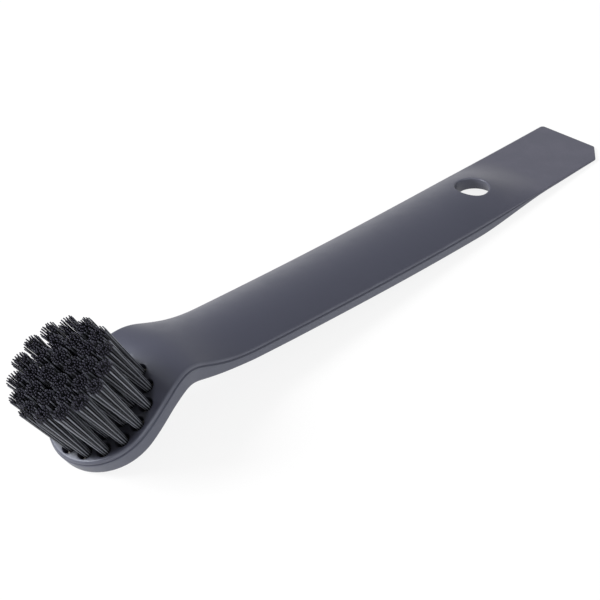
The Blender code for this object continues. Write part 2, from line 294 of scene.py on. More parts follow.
class Finish:
    """A procedural material, whose shader each kind of finish writes."""

    title: ClassVar[str]

    def shader(self, graph: Graph) -> Signal:
        """Write the nodes of the finish into a graph, and return its shader."""
        raise NotImplementedError

    def build(self) -> bpy.types.Material:
        """Make the material.

        Returns:
            The material, which takes its name from the finish's title.
        """
        material = bpy.data.materials.new(self.title)
        material.use_nodes = True
        graph = Graph(material.node_tree)
        graph.node("ShaderNodeOutputMaterial", None, {"Surface": self.shader(graph)})
        return material


@dataclass(frozen=True)
class PlasticFinish(Finish):
    """Satin slate polypropylene from a finely spark-eroded mould.

    The colour drifts a little over centimetres, as pigment flows in the mould. The side band below
    the groove is painted a lighter colour, partly as painted light from the front and the floor.
    The
    rims are painted paler and are smoother: a painted highlight along the rounded edges, as well as
    wear. The blade is painted paler: a painted sheen on its flat top, as well as scraping. The face
    between the tufts and the tuft holes are painted near black as painted shade. The mesh holds how
    much of each there is, in one share for each.
    """

    title: ClassVar[str] = "slate_polypropylene"
    top_colour: Colour = (0.054, 0.056, 0.080)
    # Side band: a lighter colour, partly painted light from the front and the floor.
    lit_band_colour: Colour = (0.088, 0.092, 0.119)
    # Painted shade: the face between the tufts and the tuft holes are painted near black.
    tuft_shade_colour: Colour = (0.010, 0.010, 0.013)
    # Paler rims: a painted highlight along the rounded edges, as well as wear.
    wear_and_highlight_colour: Colour = (0.120, 0.126, 0.156)
    # Blade: painted paler, a painted sheen on its flat top as well as scraping.
    scraped_and_sheen_colour: Colour = (0.112, 0.108, 0.142)
    sheen: Colour = (0.86, 0.91, 1.0)
    ior: float = 1.49
    roughness: float = 0.40
    worn_roughness: float = 0.28
    grain_roughness: float = 0.10
    scuff_roughness: float = 0.04
    edge_wear_and_highlight: float = 0.60
    least_edge_wear_and_highlight: float = 0.6
    soil: float = 0.85
    scrape: float = 0.40
    least_scrape_and_sheen: float = 0.8
    scuff_share: float = 0.4
    flow_size: float = 22.0 * MM
    flow_depth: float = 0.10
    grain_size: float = 0.30 * MM
    grain_detail: float = 4.0
    grain_height: float = 0.006 * MM
    grain_strength: float = 0.5
    scuff_size: float = 5.0 * MM
    scuff_detail: float = 6.0
    scuff_stops: Pairs = ((0.45, 0.0), (0.62, 1.0))

    def shader(self, graph: Graph) -> Signal:
        """Write the finish into a graph.

        Args:
            graph: The graph of the material.

        Returns:
            The plastic's shader.
        """
        place = graph.coordinates()
        flow = graph.noise(place, self.flow_size)
        grain = graph.noise(place, self.grain_size, self.grain_detail)
        scuff = graph.ramp(graph.noise(place, self.scuff_size, self.scuff_detail),
                           self.scuff_stops)
        # Painted highlight and wear: the rims are painted paler.
        rim = graph.share("rim") * self.edge_wear_and_highlight
        # The side band is painted lighter, partly as painted light.
        base = graph.mix(graph.share("band"), self.top_colour, self.lit_band_colour)
        base = graph.mix(rim * (self.least_edge_wear_and_highlight + scuff * self.scuff_share), base,
                         self.wear_and_highlight_colour)
        # Painted sheen and scraping: the blade is painted paler.
        scrape = graph.share("scrape") * self.scrape
        scrape = scrape * (self.least_scrape_and_sheen + scuff * self.scuff_share)
        base = graph.mix(scrape, base, self.scraped_and_sheen_colour)
        # Painted shade between the tufts and inside the tuft holes.
        base = graph.mix(graph.share("soil") * self.soil, base, self.tuft_shade_colour)
        drift = 1.0 - self.flow_depth / 2 + flow * self.flow_depth
        rough = self.roughness + (grain - 0.5) * self.grain_roughness
        rough = rough + scuff * self.scuff_roughness
        return graph.node("ShaderNodeBsdfPrincipled", None, {
            "Base Color": graph.mix(1.0, base, drift, "MULTIPLY"),
            "Roughness": rough - rim * (self.roughness - self.worn_roughness),
            "Normal": graph.bump(grain, self.grain_strength, self.grain_height),
            "IOR": self.ior,
            "Specular Tint": opaque(self.sheen),
        })


@dataclass(frozen=True)
class NylonFinish(Finish):
    """Black nylon filament: glossy along its length, and matt at the cut ends.

    Some filaments are painted paler as painted highlight, and the rest black as painted shade. The
    mesh holds which, in the share strand, and where each is cut, in the share end.
    """

    title: ClassVar[str] = "black_nylon_filament"
    colour: Colour = (0.006, 0.006, 0.008)
    # Painted highlight: the colour of the paler strands.
    highlight_colour: Colour = (0.255, 0.268, 0.308)
    end_colour: Colour = (0.008, 0.007, 0.012)
    pale_end_colour: Colour = (0.058, 0.055, 0.083)
    sheen: Colour = (0.80, 0.88, 1.0)
    ior: float = 1.53
    specular: float = 0.25
    end_specular: float = 0.12
    roughness: float = 0.32
    end_roughness: float = 0.7
    strand_stops: Pairs = ((0.45, 0.0), (1.0, 1.0))
    strand_highlight_share: float = 0.78
    strand_roughness: float = 0.12
    streak_share: float = 0.12
    streak_roughness: float = 0.08
    streak_size: float = 0.8 * MM
    streak_height: float = 0.01 * MM
    streak_strength: float = 0.3

    def shader(self, graph: Graph) -> Signal:
        """Write the finish into a graph.

        Args:
            graph: The graph of the material.

        Returns:
            The mix of the filament's shader and that of its ends.
        """
        streak = graph.noise(graph.coordinates(), self.streak_size)
        strand = graph.ramp(graph.share("strand"), self.strand_stops)
        # Painted highlight by the strand share; a low share leaves a strand black as painted shade.
        pale = strand * self.strand_highlight_share + streak * self.streak_share
        rough = self.roughness + (strand - 0.5) * self.strand_roughness
        gloss = graph.node("ShaderNodeBsdfPrincipled", None, {
            "Base Color": graph.mix(pale, self.colour, self.highlight_colour),
            "Roughness": rough + (streak - 0.5) * self.streak_roughness,
            "Normal": graph.bump(streak, self.streak_strength, self.streak_height),
            "IOR": self.ior,
            "Specular IOR Level": self.specular,
            "Specular Tint": opaque(self.sheen),
        })
        matt = graph.node("ShaderNodeBsdfPrincipled", None, {
            "Base Color": graph.mix(streak, self.end_colour, self.pale_end_colour),
            "Roughness": self.end_roughness,
            "Specular IOR Level": self.end_specular,
        })
        return graph.node("ShaderNodeMixShader", None, {0: graph.share("end"), 1: gloss, 2: matt})


@dataclass(frozen=True)
class WireFinish(Finish):
    """Drawn nickel-silver wire, whose draw marks run along X."""

    title: ClassVar[str] = "drawn_anchor_wire"
    colour: Colour = (0.100, 0.095, 0.090)
    dull_colour: Colour = (0.045, 0.043, 0.040)
    roughness: float = 0.5
    line_size: float = 0.06 * MM
    line_stretch: float = 30.0
    line_roughness: float = 0.2
    line_height: float = 0.004 * MM
    line_strength: float = 0.4

    def shader(self, graph: Graph) -> Signal:
        """Write the finish into a graph.

        Args:
            graph: The graph of the material.

        Returns:
            The metal's shader.
        """
        place = graph.node("ShaderNodeMapping", None, {
            "Vector": graph.coordinates(), "Scale": (1.0 / self.line_stretch, 1.0, 1.0)})
        line = graph.noise(place, self.line_size)
        return graph.node("ShaderNodeBsdfPrincipled", None, {
            "Base Color": graph.mix(line, self.dull_colour, self.colour),
            "Metallic": 1.0,
            "Roughness": self.roughness + (line - 0.5) * self.line_roughness,
            "Normal": graph.bump(line, self.line_strength, self.line_height),
        })


@dataclass(frozen=True)
class FloorFinish(Finish):
    """Matt white card, which camera, glossy and clear rays see washed out towards white."""

    title: ClassVar[str] = "white_card"
    colour: Colour = (0.93, 0.93, 0.93)
    white: Colour = (1.0, 1.0, 1.0)
    roughness: float = 0.85
    fibre_size: float = 1.5 * MM
    fibre_roughness: float = 0.1
    wash: float = 0.85

    def shader(self, graph: Graph) -> Signal:
        """Write the finish into a graph.

        Args:
            graph: The graph of the material.

        Returns:
            The mix of the card's shader and plain white light.
        """
        fibre = graph.noise(graph.coordinates(), self.fibre_size)
        card = graph.node("ShaderNodeBsdfPrincipled", None, {
            "Base Color": opaque(self.colour),
            "Roughness": self.roughness + fibre * self.fibre_roughness,
            "Specular IOR Level": 0.0,
        })
        white = graph.node("ShaderNodeEmission", None, {"Color": opaque(self.white)})
        return graph.node("ShaderNodeMixShader", None,
                          {0: graph.seen() * self.wash, 1: card, 2: white})


@dataclass(frozen=True)
class HeadFrame:
    """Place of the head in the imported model: the middle of its face, and its tilt about Y."""

    origin: Vector
    tilt: float

    @classmethod
    def from_mount(cls, mount: dict, point: tuple[float, float, float]) -> "HeadFrame":
        """Read the place from a mount on the head's back.

        Args:
            mount: The record's mount, whose axis points out of the back.
            point: The mount's point in the head's own frame.

        Returns:
            The head's frame.
        """
        x, _, z = mount["axis"]
        tilt = -math.atan2(x, -z)
        origin = Vector(mount["pos_m"]) - Matrix.Rotation(tilt, 3, "Y") @ Vector(point)
        return cls(origin, tilt)

    def to_world(self, points: Array) -> Array:
        """Move points from the head's own frame to the model's."""
        turn = np.array(Matrix.Rotation(self.tilt, 3, "Y"))
        return points @ turn.T + np.array(self.origin)


@dataclass(frozen=True)
class HandleShape:
    """Sizes and surfaces of the moulded handle, in plan distances along and across it.

    A place in plan is (s, q): s runs along the middle of the top from the middle of the head, and
    q across it. A third distance h is the height over the path.
    """

    waist_half_width: float = 11.9 * MM
    waist_distance: float = 25.0 * MM
    grip_half_width: float = 12.5 * MM
    blade_half_width: float = 12.0 * MM
    length: float = 181.6 * MM
    blade_length: float = 26.0 * MM
    crown_fade_length: float = 21.0 * MM
    thinning_length: float = 26.0 * MM
    thinning_lead: float = 7.0 * MM
    side_thinning_lag: float = 5.0 * MM
    cut_along: float = 5.6 * MM
    cut_across: float = 4.6 * MM

    face_margin: float = 3.6 * MM
    crest_length: float = 13.6 * MM
    neck_length: float = 15.0 * MM
    neck_slope: float = math.radians(-44.0)
    grip_slope: float = math.radians(-33.9)
    blade_slope: float = math.radians(-30.6)

    side_distances: tuple[float, ...] = (-9.0 * MM, 8.0 * MM, 19.5 * MM, 37.0 * MM, 54.0 * MM)
    side_heights: tuple[float, ...] = (5.42 * MM, 4.60 * MM, 5.50 * MM, 3.43 * MM, 3.68 * MM)
    front_side_height: float = 5.2 * MM
    grip_thickness: float = 2.6 * MM
    blade_thickness: float = 0.9 * MM
    blade_tip_thickness: float = 0.7 * MM
    blade_belly: float = 0.15 * MM
    crown: float = 4.0 * MM
    crown_start: float = 7.0 * MM
    crown_rise_length: float = 35.0 * MM
    lower_edge_share: float = 0.17

    path_steps: int = 2000
    bow_tries: int = 10

    @property
    def face_end(self) -> float:
        """Distance at which the head's face starts to fall away."""
        return HEAD_RADIUS - self.face_margin

    @property
    def neck_steepest(self) -> float:
        """Distance at which the neck is steepest."""
        return self.face_end + self.crest_length

    @property
    def grip_start(self) -> float:
        """Distance at which the grip starts."""
        return self.neck_steepest + self.neck_length

    @property
    def blade_start(self) -> float:
        """Distance at which the flat blade starts."""
        return self.length - self.blade_length

    @property
    def thinning_end(self) -> float:
        """Distance at which the grip has thinned to the blade."""
        return self.blade_start - self.thinning_lead

    @property
    def thinning_start(self) -> float:
        """Distance at which the grip starts to thin."""
        return self.thinning_end - self.thinning_length

    @property
    def crown_fade_start(self) -> float:
        """Distance at which the arch starts to flatten."""
        return self.blade_start - self.crown_fade_length

    def slope(self, s: Array) -> Array:
        """Slope of the path against the head's face."""
        return eased(s, (self.face_end, self.neck_steepest, self.grip_start, self.blade_start),
                     (0.0, self.neck_slope, self.grip_slope, self.blade_slope))

    def half_width(self, s: Array) -> Array:
        """Half of the width, which is the head's radius in front of its middle."""
        return eased(s, (0.0, self.waist_distance, self.thinning_start, self.length),
                     (HEAD_RADIUS, self.waist_half_width, self.grip_half_width,
                      self.blade_half_width))

    def arch(self, s: Array) -> Array:
        """How far the top's edges lie below its middle."""
        return eased(s, (self.crown_start, self.crown_start + self.crown_rise_length,
                         self.crown_fade_start, self.blade_start),
                     (0.0, self.crown, self.crown, 0.0))

    def sink(self, s: Array) -> Array:
        """How far the top's middle sinks under the path, so that its edges run straight on."""
        return eased(s, (self.crown_fade_start, self.blade_start), (0.0, self.crown))

    def thickness(self, s: Array) -> Array:
        """Thickness along the middle."""
        return eased(s, (self.face_end, self.grip_start, self.thinning_start, self.thinning_end,
                         self.length),
                     (HEAD_THICKNESS, self.grip_thickness, self.grip_thickness,
                      self.blade_thickness, self.blade_tip_thickness))

    def side_height(self, s: Array) -> Array:
        """Height of the side band."""
        return eased(s, (-HEAD_RADIUS, *self.side_distances, self.thinning_start,
                         self.thinning_end + self.side_thinning_lag, self.length),
                     (self.front_side_height, *self.side_heights, self.side_heights[-1],
                      self.blade_thickness - self.blade_belly,
                      self.blade_tip_thickness - self.blade_belly))

    def across(self, s: Array, q: Array) -> Array:
        """Square of the share of the half-width that a place lies across from the middle."""
        return (q / self.half_width(s)) ** 2

    def top(self, s: Array, q: Array) -> Array:
        """Height of the top: a parabola across, which falls by the arch at the edges."""
        return -self.arch(s) * self.across(s, q)

    def lower_edge(self, s: Array) -> Array:
        """Radius of the rounded bead along the lower edge."""
        return self.lower_edge_share * self.side_height(s)

    def bow(self, s: Array) -> Array:
        """How far the underside falls from its middle to the sides, were it to run on to them.

        Formula: a parabola leaves the middle and meets the bead's arc at one slope. The bead's
        lowest point is where a parabola to the foot of the side band would pass one radius in
        from the side. The slope is found by repeated tries.

        Args:
            s: Distances along the handle.

        Returns:
            The fall at each distance.
        """
        width, radius = self.half_width(s), self.lower_edge(s)
        drop = self.arch(s) + self.side_height(s) - self.thickness(s)
        angle = np.zeros_like(width)
        for _ in range(self.bow_tries):
            reach = width - radius * (1.0 + np.sin(angle))
            rise = drop * (1.0 - radius / width) ** 2 - radius * (1.0 - np.cos(angle))
            angle = np.arctan2(2.0 * rise, reach)
        return np.tan(angle) * width ** 2 / (2.0 * reach)

    def underside(self, s: Array, q: Array) -> Array:
        """Height of the underside: a parabola across, which is highest in its middle."""
        return -self.thickness(s) - self.bow(s) * self.across(s, q)

    def place(self, s: Array, q: Array, h: Array) -> Array:
        """Carry plan places and heights to the head's own frame.

        Formula: the path's x and z are the sums of the cosine and sine of its slope along it. The
        height goes along the path's normal, less the sink. In front of the head's middle the frame
        is the head's own.

        Args:
            s: Distances along the handle.
            q: Distances across it.
            h: Heights over the path.

        Returns:
            Points (n, 3) in the head's own frame.
        """
        at = np.linspace(0.0, self.length, self.path_steps + 1)
        slope = self.slope((at[:-1] + at[1:]) / 2)
        x = np.concatenate(([0.0], np.cumsum(np.diff(at) * np.cos(slope))))
        z = np.concatenate(([0.0], np.cumsum(np.diff(at) * np.sin(slope))))
        lean, rise = self.slope(s), h - self.sink(s)
        px = np.where(s < 0.0, s, np.interp(s, at, x)) - np.sin(lean) * rise
        pz = np.interp(s, at, z) + np.cos(lean) * rise
        return np.stack([px, q, pz], axis=-1)

    def inside(self, s: Array, q: Array) -> Array:
        """Distance in plan from a place inside to the outline, less than zero outside it.

        Formula: the least of the distances from the side or the head's circle, from the blade's
        end, and from the line of its cut corner.

        Args:
            s: Distances along the handle.
            q: Distances across it.

        Returns:
            The distance of each place.
        """
        across = np.where(s < 0.0, HEAD_RADIUS - np.hypot(s, q), self.half_width(s) - np.abs(q))
        corner = 1.0 - (s - self.length + self.cut_along) / self.cut_along
        corner += (q + self.blade_half_width) / self.cut_across
        corner *= self.cut_along * self.cut_across / math.hypot(self.cut_along, self.cut_across)
        return np.minimum(np.minimum(across, self.length - s), corner)


def rounded_edge(line: Array, out: Array, wall: Array, radius: Array, surface: Surface,
                 side: float, steps: int) -> tuple[Array, Array]:
    """Round the edge between a surface and a wall that is square to the plan.

    Formula: the surface's slope along the outward direction gives the angle at which the arc
    leaves it, found by repeated tries. The arc's middle lies a radius inside the wall, and a
    radius times the angle's cosine under the surface. The arc runs on to a right angle, where it
    meets the wall. On the underside all heights are mirrored.

    Args:
        line: Points (n, 2) of the loop in plan.
        out: Directions (n, 2) in plan out of the material.
        wall: Distance (n) of the wall from the line, outwards.
        radius: Radius (n) of the rounding.
        surface: Height over a place in plan.
        side: 1 on the top, -1 on the underside.
        steps: Count of steps along the arc.

    Returns:
        Distances outward from the line and heights (n, steps + 1), from the surface to the wall.
    """
    probe, tries = 0.01 * MM, 8

    def height(distance: Array) -> Array:
        """Mirrored height of the surface at distances from the line."""
        return side * surface(*(line + out * distance[:, None]).T)

    angle = np.zeros(len(line))
    for _ in range(tries):
        start = wall - radius * (1.0 - np.sin(angle))
        angle = np.arctan2(height(start - probe) - height(start), probe)
    turn = angle[:, None] + (math.pi / 2 - angle)[:, None] * np.linspace(0.0, 1.0, steps + 1)
    distance = (wall - radius)[:, None] + radius[:, None] * np.sin(turn)
    drop = radius[:, None] * (np.cos(angle)[:, None] - np.cos(turn))
    return distance, side * (height(start)[:, None] - drop)


def fill_plate(loops: list[Array], lattice: Array, gap: float) -> tuple[Array, Array]:
    """Triangulate a plate with round holes over a lattice of points.

    Args:
        loops: Loops of points in plan, the outline first and then one for each hole.
        lattice: Points in plan inside the outline.
        gap: Least distance of a lattice point from a hole's edge.

    Returns:
        Points in plan, those of the loops first in their order, and the triangles' indices,
        counter-clockwise.
    """
    inside_loops, same = 1, gap * 1e-6
    keep = np.ones(len(lattice), dtype=bool)
    for loop in loops[1:]:
        middle = loop.mean(axis=0)
        reach = np.linalg.norm(loop - middle, axis=1).max()
        keep &= np.linalg.norm(lattice - middle, axis=1) > reach + gap
    points = np.concatenate(loops + [lattice[keep]])
    starts = np.cumsum([0] + [len(loop) for loop in loops])
    rounds = [start + np.arange(len(loop)) for start, loop in zip(starts, loops)]
    edges = np.concatenate([np.stack([row, np.roll(row, -1)], axis=-1) for row in rounds])
    _, _, faces, origins, _, _ = delaunay_2d_cdt(
        [Vector(point) for point in points.tolist()], edges.tolist(), [], inside_loops, same)
    triangles = np.array([origin[0] for origin in origins])[np.array(faces)]
    owner = (np.searchsorted(starts, np.arange(len(points)), side="right") - 1)[triangles]
    in_hole = (owner == owner[:, :1]).all(axis=1) & (owner[:, 0] > 0) & (owner[:, 0] < len(loops))
    return points, triangles[~in_hole]


class Skin:
    """Points and faces of one closed skin, gathered patch by patch.

    A point has five numbers: its place in plan, its height, and its rim and band shares.
    """

    def __init__(self) -> None:
        """Start with no points."""
        self.points: list[Array] = []
        self.faces: list[list[int]] = []
        self.count = 0

    def add(self, s: Array, q: Array, h: Array, rim: Array | float = 0.0,
            band: Array | float = 0.0) -> Array:
        """Add points.

        Args:
            s: Distances along the handle.
            q: Distances across it.
            h: Heights over the path.
            rim: Shares of wear and painted highlight.
            band: Shares of the band's lighter colour, partly painted light.

        Returns:
            The points' indices, in the shape of the distances.
        """
        block = np.stack(np.broadcast_arrays(s, q, h, rim, band), axis=-1)
        index = self.count + np.arange(block[..., 0].size).reshape(block.shape[:-1])
        self.points.append(block.reshape(-1, 5))
        self.count += index.size
        return index

    def add_faces(self, corners: Array, flip: bool = False) -> None:
        """Add faces (n, corner) of indices, turned over where flip is set."""
        self.faces += (corners[:, ::-1] if flip else corners).tolist()

    def weave(self, index: Array, flip: bool = False) -> None:
        """Join a closed loop of rows by quads, which face left of the rows' way.

        Args:
            index: Indices (row, point), the last row next to the first.
            flip: Whether the quads face right instead.
        """
        after = np.roll(index, -1, axis=0)
        quads = np.stack([index[:, :-1], index[:, 1:], after[:, 1:], after[:, :-1]], axis=-1)
        self.add_faces(quads.reshape(-1, 4), flip)

    def fill(self, loops: list[Array], lattice: Array, gap: float, surface: Surface,
             flip: bool = False) -> None:
        """Fill the space between loops of indices with triangles on a surface.

        Args:
            loops: Indices of the outline's points, and then of each hole's.
            lattice: Places in plan of the points between them.
            gap: Least distance of such a point from a hole's edge.
            surface: Height over a place in plan.
            flip: Whether the triangles face down.
        """
        known = np.concatenate(self.points)
        points, triangles = fill_plate([known[loop, :2] for loop in loops], lattice, gap)
        inner = points[sum(len(loop) for loop in loops):]
        index = np.concatenate(loops + [self.add(*inner.T, surface(*inner.T))])
        self.add_faces(index[triangles], flip)

    def fan(self, loop: Array, middle: Array) -> None:
        """Close a loop of indices by triangles to a middle point, which is (s, q, h)."""
        centre = self.add(*middle[:, None])[0]
        self.add_faces(np.stack([loop, np.roll(loop, -1), np.full_like(loop, centre)], axis=-1))


@dataclass(frozen=True)
class TuftField:
    """Rings of tufts on the head's face, whose tips lean to the front and draw in a little."""

    ring_margin: float = 3.4 * MM
    ring_pitch: float = 4.2 * MM
    shift: float = 0.3 * MM
    lean: float = 0.2 * MM
    tip_shares: tuple[float, float] = (0.965, 0.99)

    def places(self) -> dict[str, Array]:
        """Find the tufts' places, in equal steps round each ring from half a step past the neck.

        Returns:
            Place on the head's face of each tuft, by the name that its nodes end with.
        """
        found = {}
        for step, ring in enumerate(Ring):
            radius = HEAD_RADIUS - self.ring_margin - step * self.ring_pitch
            spots = radius * around(full_turn(ring.value, 0.5)) - np.array([self.shift, 0.0])
            for k, spot in enumerate(spots):
                found[f"{ring.name.lower()}_{k + 1:02d}"] = spot
        return found

    def tip_shift(self, place: Array) -> Array:
        """How far a tuft's tips lie aside from its hole, in plan."""
        middle = np.array([-self.shift, 0.0])
        return (place - middle) * (np.array(self.tip_shares) - 1.0) - np.array([self.lean, 0.0])


@dataclass(frozen=True)
class Handle:
    """The moulded handle: brush head, humped neck, arched grip and thin blade in one skin.

    The points of the groove and of the lip under it are in millimetres, up from the foot of the
    top's rounding, and out from that foot and from the side band. The underside's plate ends
    inside the outline by its inset times the radius of the lower edge.
    """

    shape: HandleShape = HandleShape()
    tufts: TuftField = TuftField()
    top_edge_radius: float = 0.75 * MM
    top_edge_share: float = 0.2
    ledge_width: float = 0.25 * MM
    ledge_share: float = 0.1
    groove: Pairs = ((0.00, -0.05), (-0.04, -0.12), (-0.10, -0.19), (-0.14, -0.28),
                     (-0.14, -0.38), (-0.10, -0.46))
    lip: Pairs = ((-0.07, -0.51), (-0.03, -0.56), (-0.01, -0.62), (0.00, -0.70))
    # Painted highlight and wear on the lip under the groove.
    lip_wear_and_highlight: tuple[float, ...] = (0.3, 0.8, 0.6, 0.0)
    rim_wear_and_highlight_turn: float = 2.4
    full_side_height: float = 3.68 * MM
    far_corner_radius: float = 1.2 * MM
    cut_corner_radius: float = 1.0 * MM
    hang_hole_radius: float = 4.8 * MM
    hang_hole_from_end: float = 47.4 * MM
    hang_hole_lip: float = 0.4 * MM
    collar_width: float = 1.2 * MM
    collar_depth: float = 4.0 * MM
    collar_edge: float = 0.3 * MM
    collar_fillet: float = 0.4 * MM
    tuft_hole_radius: float = 1.85 * MM
    tuft_hole_depth: float = 3.6 * MM
    tuft_hole_rim: float = 0.12 * MM
    # Painted highlight and wear on each tuft hole's rounding.
    tuft_hole_wear_and_highlight: tuple[float, ...] = (0.0, 0.3, 0.3, 0.0, 0.0)
    # Painted shade: where it fades out beyond the tufts, and how deep into the holes it reaches.
    soil_edge: tuple[float, float] = (12.8 * MM, 14.0 * MM)
    soil_depth: float = -4.0 * MM
    pitch: float = 0.55 * MM
    row_offset: float = pitch / 3
    underside_inset: float = 1.7
    top_steps: int = 6
    lower_steps: int = 9
    wall_steps: int = 4
    corner_steps: int = 8
    cut_steps: int = 13
    end_steps: int = 35
    draw_tries: int = 3
    tuft_hole_sides: int = 36
    hang_hole_sides: int = 96

    def corner(self, middle: tuple[float, float], radius: float, first: float,
               last: float) -> Array:
        """Points on an arc about a middle in plan, from one angle in degrees to another."""
        turn = np.radians(np.linspace(first, last, self.corner_steps + 1))
        return np.array(middle) + radius * around(turn)

    def outline(self) -> Array:
        """Draw the loop round the handle in plan.

        Formula: a half circle round the head, the half-width along both sides, and the blade's
        end square across. One of its corners is rounded, and one cut straight off between two
        small arcs, each of which meets its sides at a radius times the tangent of half the turn.

        Returns:
            Points (n, 2), counter-clockwise.
        """
        shape = self.shape
        end, half, large = shape.length, shape.blade_half_width, self.far_corner_radius
        small, slant = self.cut_corner_radius, math.atan2(shape.cut_across, shape.cut_along)
        near_run = small * math.tan(slant / 2)
        end_run = small * math.tan((math.pi / 2 - slant) / 2)
        near = np.arange(0.0, end - shape.cut_along - near_run - self.pitch / 2, self.pitch)
        far = np.arange(0.0, end - large - self.pitch / 2, self.pitch)[::-1]
        turned = math.degrees(slant) - 90.0
        first = self.corner((end - shape.cut_along - near_run, small - half), small, -90.0, turned)
        second = self.corner((end - small, shape.cut_across + end_run - half), small, turned, 0.0)
        third = self.corner((end - large, half - large), large, 0.0, 90.0)
        cut = np.linspace(0.0, 1.0, self.cut_steps + 1)[1:-1, None]
        across = np.linspace(0.0, 1.0, self.end_steps + 1)[1:-1, None]
        steps = round(math.pi * HEAD_RADIUS / self.pitch)
        turn = math.pi / 2 + math.pi * np.linspace(0.0, 1.0, steps + 1)[1:-1]
        return np.concatenate([
            np.stack([near, -shape.half_width(near)], axis=-1), first,
            first[-1] + (second[0] - first[-1]) * cut, second,
            second[-1] + (third[0] - second[-1]) * across, third,
            np.stack([far, shape.half_width(far)], axis=-1), HEAD_RADIUS * around(turn)])

    def rim_wear_and_highlight(self) -> Array:
        """Wear and painted highlight from a rounding's inner end out: a sine from 0 past its peak.
        """
        return np.sin(np.linspace(0.0, self.rim_wear_and_highlight_turn, self.top_steps + 1))

    def top_edge(self, side: Array) -> tuple[Array, Array]:
        """Radius of the top's rounding and width of its ledge, less where the side is low."""
        return (np.minimum(self.top_edge_radius, self.top_edge_share * side),
                np.minimum(self.ledge_width, self.ledge_share * side))

    def add_band(self, skin: Skin) -> Array:
        """Add the edge round the whole handle.

        Formula: from the top inwards out, a rounding, a step down into a thin groove, the side
        band, and the lower bead, all as distances out from the outline and heights.

        Args:
            skin: The skin that it becomes part of.

        Returns:
            Indices (outline, profile) of its points, from the top down.
        """
        shape, line = self.shape, self.outline()
        step = np.roll(line, -1, axis=0) - line
        step /= np.linalg.norm(step, axis=1, keepdims=True)
        way = step + np.roll(step, 1, axis=0)
        way /= np.linalg.norm(way, axis=1, keepdims=True)
        out = np.stack([way[:, 1], -way[:, 0]], axis=-1)
        s = line[:, 0]
        side = shape.side_height(s)
        radius, ledge = self.top_edge(side)
        size = np.minimum(side / self.full_side_height, 1.0)[:, None]
        top_d, top_h = rounded_edge(line, out, -ledge, radius, shape.top, 1.0, self.top_steps)
        low_d, low_h = rounded_edge(line, out, 0.0 * ledge, shape.lower_edge(s), shape.underside,
                                    -1.0, self.lower_steps)
        groove, lip = MM * np.array(self.groove), MM * np.array(self.lip)
        lip_h = top_h[:, -1:] + size * lip[:, 1]
        share = np.linspace(0.0, 1.0, self.wall_steps + 1)[1:-1]
        wall_h = lip_h[:, -1:] + (low_h[:, -1:] - lip_h[:, -1:]) * share
        distance = np.concatenate([top_d, -ledge[:, None] + size * groove[:, 0],
                                   size * lip[:, 0], 0.0 * wall_h, low_d[:, ::-1]], axis=1)
        height = np.concatenate([top_h, top_h[:, -1:] + size * groove[:, 1], lip_h, wall_h,
                                 low_h[:, ::-1]], axis=1)
        # Painted highlight and wear on the top's rounding and on the lip.
        rim = np.concatenate([self.rim_wear_and_highlight(), np.zeros(len(groove)), self.lip_wear_and_highlight,
                              np.zeros(len(share) + self.lower_steps + 1)])
        # The band's lighter colour, partly painted light, fades out over the lower bead.
        band = np.concatenate([np.zeros(self.top_steps + 1 + len(groove)),
                               np.ones(len(lip) + len(share)),
                               np.linspace(1.0, 0.0, self.lower_steps + 1)])
        place = line[:, None, :] + out[:, None, :] * distance[:, :, None]
        index = skin.add(place[..., 0], place[..., 1], height, rim, band * size)
        skin.weave(index)
        return index

    def add_hang_hole(self, skin: Skin) -> Array:
        """Add the hang hole and its collar.

        Formula: a rounding at the top follows the arch. Under it the wall leans with the mould's
        draw, which is the head's axis: it moves on along the handle by the tangent of the slope
        for each step down. It ends in a collar with rounded edges that is arched as the top is.
        The collar's outside leans alike and meets the underside in a small fillet, whose place
        and height are found by repeated tries.

        Args:
            skin: The skin that it becomes part of.

        Returns:
            Indices (side, profile) of its points, from the top down and out to the underside.
        """
        sides, radius = self.hang_hole_sides, self.hang_hole_radius
        ring, zero = around(full_turn(sides)), np.zeros(sides)
        middle = np.array([self.shape.length - self.hang_hole_from_end, 0.0])
        draw = -math.tan(float(self.shape.slope(middle[:1])[0]))
        top_d, top_h = rounded_edge(middle + radius * ring, -ring, zero,
                                    zero + self.hang_hole_lip, self.shape.top, 1.0, self.top_steps)
        wide, soft, foot = radius + self.collar_width, self.collar_edge, -self.collar_depth
        bend = np.linspace(0.0, math.pi / 2, self.wall_steps + 1)
        edge_r = np.concatenate([radius + soft * (1.0 - np.cos(bend)),
                                 wide - soft * (1.0 - np.sin(bend))])
        edge_h = foot + soft * (1.0 - np.concatenate([np.sin(bend), np.cos(bend)]))
        fillet = np.linspace(0.0, 1.0, self.wall_steps + 1)
        lower_r = np.concatenate([edge_r, wide + self.collar_fillet * fillet ** 2])
        distance = np.concatenate([radius - top_d,
                                   np.broadcast_to(lower_r, (sides, len(lower_r)))], axis=1)
        bent = self.shape.top(middle[:1], edge_r * ring[:, 1:])
        height = np.concatenate([top_h, edge_h + bent, np.zeros((sides, len(fillet)))], axis=1)
        begin = top_h[:, -1:]
        for _ in range(self.draw_tries):
            shift = np.maximum(begin - height, 0.0) * draw
            s = middle[0] + distance * ring[:, :1] + shift
            q = distance * ring[:, 1:]
            under = self.shape.underside(s[:, -len(fillet):], q[:, -len(fillet):])
            height[:, -len(fillet):] = under - self.collar_fillet * (1.0 - fillet) ** 2
        # Painted highlight and wear on the hang hole's upper rounding.
        rim = np.concatenate([self.rim_wear_and_highlight(), 0.0 * lower_r])
        index = skin.add(s, q, height, rim)
        skin.weave(index, flip=True)
        return index

